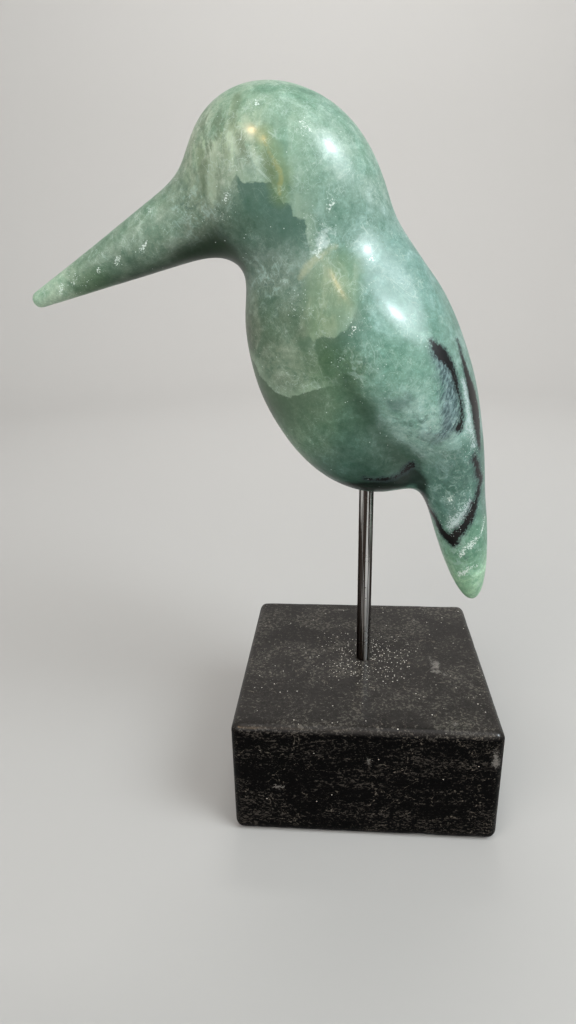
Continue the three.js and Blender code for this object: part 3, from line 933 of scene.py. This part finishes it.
def makeBirdMaterial(glints, fibres, fault):
    material, place = newMaterial("milkyGreenStone")
    clouds = {name: cloud(place, *settings) for name, settings in birdLook["clouds"].items()}
    jag = minus(cloud(place, 4.5, 3, 0.6), 0.5)
    jagFine = minus(cloud(place, 1.2, 2, 0.6), 0.5)
    wander = plus(times(jag, 6.0), times(jagFine, 2.4))
    graininess = minus(clouds["grain"], 0.5)

    def swayed(name, sway):
        return plus(attribute(place, name), times(wander, sway))

    tint, colour = birdBody(place, clouds)
    colour = birdStreaks(place, colour, swayed)
    colour = birdHealedCracks(place, colour, fault, wander)
    colour = birdVeins(place, colour, swayed, clouds["soft"], graininess)
    colour = birdSpecks(place, colour, (glints, fibres), graininess, jagFine)

    relief = plus(times(clouds["fine"], 0.5), times(clouds["grain"], 0.25))
    green = addNode("SeparateColor", {0: tint}).outputs[1]
    coat = fade(green, 0.02, 0.12, birdLook["coat"])  # none on the darkest stone
    addSurface(birdLook, colour, clouds["soft"], relief, coat)
    return material


# Plinth

plinthLook = {
    "edgeRadius": 3.7,  # mm
    "flatStep": 2.4,
    "edgeSteps": 9,
    "wear": 0.35,  # deepest rubbed-back places on the edges
    "waves": ((9, 1.0), (3.5, 0.6)),  # how long they are, and each size's share
    "worn": (0.05, 0.6),  # where the wear starts and is full, from 0 on the flats to 0.7 along an edge
    "roughness": (0.32, 0.55),
    "relief": (0.2, 0.3),  # mm, and its strength
    "shader": {"IOR": 1.5, "Specular IOR Level": 0.04, "Coat Roughness": 0.2},
    "polish": 0.3,  # of the top alone
    "colours": {
        "honedPale": (53, 50, 47), "honedDark": (43, 40, 38), "shadedSides": (2, 2, 2),
        "flecksOnTop": (100, 95, 88), "shadedSideFlecks": (66, 61, 56), "pits": (14, 13, 13),
        "scuffs": (160, 154, 147), "seams": (134, 124, 112), "paleEdges": (112, 106, 100),
        "dust": (244, 236, 224),
    },
    "dust": (30, 6),  # how far the pale grit reaches round the rod's foot, and how far it is thickest
    "scuffs": [  # places along each scuff, and its half widths
        ([(29.5, 1, 51), (31.8, -4.5, 51), (30, -10.5, 51)], [0.2, 1.6, 0.4]),
        ([(31.9, -10.6, 51), (35.6, -13.3, 51), (41.6, -16.5, 51)], [0.6, 0.3, 0.1]),
        ([(33.6, -46, 51), (35.2, -47, 50.6)], [0.9, 0.2]),
        ([(-14, 43, 51), (-7.1, 44.7, 51)], [0.2, 0.5]),
        ([(48.4, -52, 44), (49.4, -51.8, 37.5)], [0.5, 1.2]),
        ([(-36, -52.5, 22.8), (-33, -52.5, 23.2)], [0.2, 0.7]),
        ([(1.1, -52.5, 37.6), (1.1, -52.5, 35.6)], [0.3, 0.3]),
    ],
}


def gridLines(low, high, radius):
    eased = radius * (1 - np.cos(np.linspace(0, math.pi / 2, plinthLook["edgeSteps"])))
    steps = round((high - low - 2 * radius) / plinthLook["flatStep"])
    flat = np.linspace(low + radius, high - radius, steps + 1)
    return np.concatenate([low + eased, flat[1:-1], (high - eased)[::-1]])


def makePlinth(material, socketGap):
    low, high = (np.array(corner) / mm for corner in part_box("plinth"))
    rodLow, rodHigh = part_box("mounting_rod")
    radius = plinthLook["edgeRadius"]
    lines = [gridLines(low[k], high[k], radius) for k in range(3)]
    shell = {}
    points, faces = [], []

    def corner(key):
        if key not in shell:
            shell[key] = len(points)
            points.append([lines[k][key[k]] for k in range(3)])
        return shell[key]

    for axis in range(3):
        u, v = (axis + 1) % 3, (axis + 2) % 3
        for end in (0, len(lines[axis]) - 1):
            for i in range(len(lines[u]) - 1):
                for j in range(len(lines[v]) - 1):
                    ring = []
                    for di, dj in ((0, 0), (1, 0), (1, 1), (0, 1)):
                        key = [0, 0, 0]
                        key[axis], key[u], key[v] = end, i + di, j + dj
                        ring.append(corner(tuple(key)))
                    faces.append(ring if end else ring[::-1])
    points = np.array(points)
    inner = np.clip(points, low + radius, high - radius)
    away = points - inner
    length = np.linalg.norm(away, axis=1)[:, None]
    normals = away / length
    points = inner + normals * radius
    corners = np.sort(np.abs(normals), axis=1)[:, 1]
    waves = np.zeros(len(points))
    for size, share in plinthLook["waves"]:
        waves += share * np.array([noise.noise(Vector(p / size)) for p in points])
    rubbed = smoothStep(*plinthLook["worn"], corners) * np.maximum(waves, 0) * plinthLook["wear"]
    points -= normals * rubbed[:, None]
    plinth = objectFrom("stonePlinth", points * mm, faces)
    drill(plinth, rodLow.z - socketGap, rodHigh.z, rodHigh.x + socketGap)
    plinth.data.shade_smooth()
    places = vertexPlaces(plinth.data) / mm
    toFaces = np.sort(np.minimum(places - low, high - places), axis=1)
    scuffs = []
    for line, halfWidths in plinthLook["scuffs"]:
        nearest, share = lineDistance(places, smoothLine(line, 24))
        scuffs.append(nearest - spread(share, halfWidths))
    setAttributes(plinth.data, {"edge": toFaces[:, 1], "scuff": np.min(scuffs, axis=0)})
    plinth.data.materials.clear()
    plinth.data.materials.append(material)
    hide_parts("plinth")
    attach(plinth, "root")
    print("plinth:", len(plinth.data.polygons), "faces")


def plinthShade(name):
    return linear(*plinthLook["colours"][name])


def makePlinthMaterial(glints):
    material, place = newMaterial("honedDarkStone")
    height = addNode("SeparateXYZ", {0: place}).outputs[2]
    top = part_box("plinth")[1].z
    upper = fade(height, top - 3 * mm, top - 0.6 * mm)
    layered = stretched(place, (0, 3, 0), (1, 1, 1.8))
    broad = cloud(layered, 20, 4, 0.62, 0.8)
    flecks = cloud(layered, 1.3, 4, 0.7, 0.6)
    bands = cloud(stretched(place, (0, 2, 0), (0.2, 0.2, 1)), 7, 3, 0.6, 0.5)
    grit = cloud(place, 0.5, 2, 0.6)
    honed = blend(fade(broad, 0.35, 0.65), plinthShade("honedDark"), plinthShade("honedPale"))
    colour = blend(upper, plinthShade("shadedSides"), honed)  # painted shade: the sides are near black, much darker than the top, for the less light they get
    # painted shade: the flecks on the sides are a darker copy of those on the top
    pale = blend(upper, plinthShade("shadedSideFlecks"), plinthShade("flecksOnTop"))
    level = plus(flecks, fade(blend(upper, bands, broad), 0.35, 0.65, 0.1))
    colour = blend(fade(level, 0.60, 0.67, 0.75), colour, pale)
    colour = blend(fade(flecks, 0.46, 0.36, 0.35), colour, plinthShade("pits"))
    colour = blend(times(fade(grit, 0.58, 0.72, 0.3), upper), colour, pale)

    # scuffs, seams and paler edges
    ragged = minus(flecks, 0.5)
    scuff = plus(attribute(place, "scuff"), times(ragged, 6.0))
    scuff = plus(scuff, times(minus(grit, 0.5), 3.0))
    colour = blend(fade(scuff, 0.7, -0.5, 0.45), colour, plinthShade("scuffs"))
    seam = maths("ABSOLUTE", minus(cloud(place, 26, 4, 0.6, 1.2), 0.53))
    seams = times(fade(seam, 0.006, 0.0), fade(flecks, 0.46, 0.6))
    colour = blend(times(seams, 0.6), colour, plinthShade("seams"))
    # paler along the edges, in ragged stretches
    wear = plus(attribute(place, "edge"), times(ragged, 5.0))
    colour = blend(fade(wear, 0.9, 0.1, 0.4), colour, plinthShade("paleEdges"))

    # pale grit, thickest round the rod's foot and nearly all of it on the top
    flat = addNode("VectorMath", {0: place, 1: (1, 1, 0)}, operation="MULTIPLY").outputs[0]
    away = addNode("VectorMath", {0: flat}, operation="LENGTH").outputs["Value"]
    reach, core = (d * mm for d in plinthLook["dust"])
    dusty = plus(times(fade(away, reach, core), 0.85), 0.03)
    dusty = times(dusty, plus(times(upper, 0.9), 0.1))
    dust = useGroup(glints, {"Vector": place, "Scale": 1 / mm, "Amount": dusty}).outputs["Mask"]
    colour = blend(dust, colour, plinthShade("dust"))

    relief = plus(flecks, times(grit, 0.4))
    addSurface(plinthLook, colour, flecks, relief, times(upper, plinthLook["polish"]))
    return material


# Rod

rodLook = {
    "sides": 96,
    "rim": 0.4,  # mm, the chamfered ends
    "rimSteps": 3,
    "sharpFrom": 50,  # degrees
    "dark": (62, 55, 51),
    "paintedHighlight": (224, 223, 222),
    "roughness": (0.24, 0.32),
    "relief": (0.1, 1.0),  # mm, and its strength
    "shader": {"Metallic": 1.0, "Specular Tint": (0.3, 0.28, 0.27, 1.0)},
}


def makeRod(material):
    low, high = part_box("mounting_rod")
    shape = cylinder(low.z, high.z, high.x, rodLook["sides"])
    rims = [e for e in shape.edges if abs(e.verts[0].co.z - e.verts[1].co.z) < mm / 100]  # the level edges
    bmesh.ops.bevel(shape, geom=rims, offset=rodLook["rim"] * mm, segments=rodLook["rimSteps"], profile=0.5,
                    affect="EDGES")
    mesh = meshFrom("steelRod", shape)
    rod = newObject("steelRod", mesh)
    mesh.shade_smooth()
    mesh.set_sharp_from_angle(angle=math.radians(rodLook["sharpFrom"]))
    mesh.materials.append(material)
    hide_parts("mounting_rod")
    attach(rod, "root")
    print("rod:", len(mesh.polygons), "faces")


def makeSteel():
    material, place = newMaterial("satinSteel")
    drawnGrainAndHighlight = cloud(stretched(place, (0, 0, 0), (1, 1, 0.01)), 1.1, 2, 0.6)
    rings = cloud(stretched(place, (0, 0, 0), (0.05, 0.05, 1)), 0.3, 2, 0.6)
    smudge = cloud(place, 9, 3, 0.6)
    # painted highlight: pale streaks up the rod stand in for the reflection of the lights in drawn steel
    colour = blend(fade(drawnGrainAndHighlight, 0.51, 0.59), linear(*rodLook["dark"]), linear(*rodLook["paintedHighlight"]))
    addSurface(rodLook, colour, smudge, plus(rings, times(drawnGrainAndHighlight, 0.15)))
    return material


# Studio: a pale floor that curves up all round, and soft lights

studio = {
    "floorRadius": 0.95,  # m
    "curve": 0.55,
    "curveSteps": 12,
    "wall": 1.5,
    "sides": 96,
    "floorColour": (192, 190, 187),
    "sky": 0.09,
    "aimHeight": 0.04,  # above the middle of the sculpture
    "lights": {  # degrees round and up, distance and size in m, watts, colour
        "window": (57, 44, 0.9, 0.1, 4.2, (0.86, 0.95, 1.0)),
        "halo": (58, 41, 1.0, 0.45, 4, (0.82, 0.94, 1.0)),
        "glow": (60, 42, 1.1, 0.7, 8.6, (0.9, 0.97, 1.0)),
        "fill": (-30, 26, 1.4, 1.4, 12, (1.0, 0.99, 0.98)),
        "lamp": (-35, 48, 1.0, 0.035, 3.2, (1.0, 0.64, 0.3)),
        "lampLow": (-20.5, 41.4, 1.0, 0.035, 1.3, (1.0, 0.64, 0.3)),
        "overhead": (20, 78, 1.1, 0.9, 3, (1.0, 0.99, 0.98)),
        "backdrop": (180, 58, 1.1, 0.5, 8.5, (1.0, 1.0, 1.0)),
    },
    "sheenOnly": ("window", "halo", "lamp", "lampLow"),  # seen in polished faces alone
    "wallLight": "backdrop",  # for the wall behind, and not seen in the stone
    "wallAim": (0, 1.5, 0.1),
}


def makeSweep():
    radius, curve, sides = studio["floorRadius"], studio["curve"], studio["sides"]
    rises = np.linspace(0, math.pi / 2, studio["curveSteps"] + 1).tolist()
    profile = [(radius + curve * math.sin(rise), curve * (1 - math.cos(rise))) for rise in rises]
    profile.append((radius + curve, studio["wall"]))
    turns = [2 * math.pi * j / sides for j in range(sides)]
    points = [(0, 0, 0)]
    for away, height in profile:
        points += [(away * math.cos(turn), away * math.sin(turn), height) for turn in turns]
    mesh = bpy.data.meshes.new("studioSweep")
    mesh.from_pydata(points, [], ringFaces(len(profile), sides))
    mesh.shade_smooth()
    sweep = newObject("studioSweep", mesh)
    material = bpy.data.materials.new("palePaper")
    material.use_nodes = True
    paper = material.node_tree.nodes["Principled BSDF"]
    paper.inputs["Base Color"].default_value = linear(*studio["floorColour"])
    paper.inputs["Roughness"].default_value = 0.9
    mesh.materials.append(material)


def makeSky():
    world = bpy.data.worlds.new("studioSky")
    world.use_nodes = True
    sky = world.node_tree.nodes["Background"]
    sky.inputs["Color"].default_value = (1.0, 1.0, 1.0, 1.0)
    sky.inputs["Strength"].default_value = studio["sky"]
    bpy.context.scene.world = world


def makeLights():
    aim = Vector((0, 0, (cadLow.z + cadHigh.z) / 2 + studio["aimHeight"]))
    for name, (around, height, distance, size, watts, colour) in studio["lights"].items():
        data = bpy.data.lights.new(name, "AREA")
        data.shape = "DISK"
        data.size = size
        data.energy = watts
        data.color = colour
        made = newObject(name, data)
        turn, rise = math.radians(around), math.radians(height)
        away = Vector((math.sin(turn) * math.cos(rise), -math.cos(turn) * math.cos(rise), math.sin(rise)))
        made.location = aim + away * distance
        made.visible_camera = False
        made.visible_diffuse = name not in studio["sheenOnly"]
        if name == studio["wallLight"]:
            away = made.location - Vector(studio["wallAim"])
            made.visible_glossy = False
        made.rotation_mode = "QUATERNION"
        made.rotation_quaternion = away.to_track_quat("Z", "Y")
    bpy.context.scene.view_settings.view_transform = "Standard"


makeCamera(photoView)
makeSweep()
makeSky()
makeLights()
stoneGlints = makeGlintGroup()
stoneFibres = makeFibreGroup()
stoneFault = makeFaultGroup()
socketGap = 0.3 * mm  # round the rod in both sockets
makeBird(makeBirdMaterial(stoneGlints, stoneFibres, stoneFault), socketGap)
makePlinth(makePlinthMaterial(stoneGlints), socketGap)
makeRod(makeSteel())
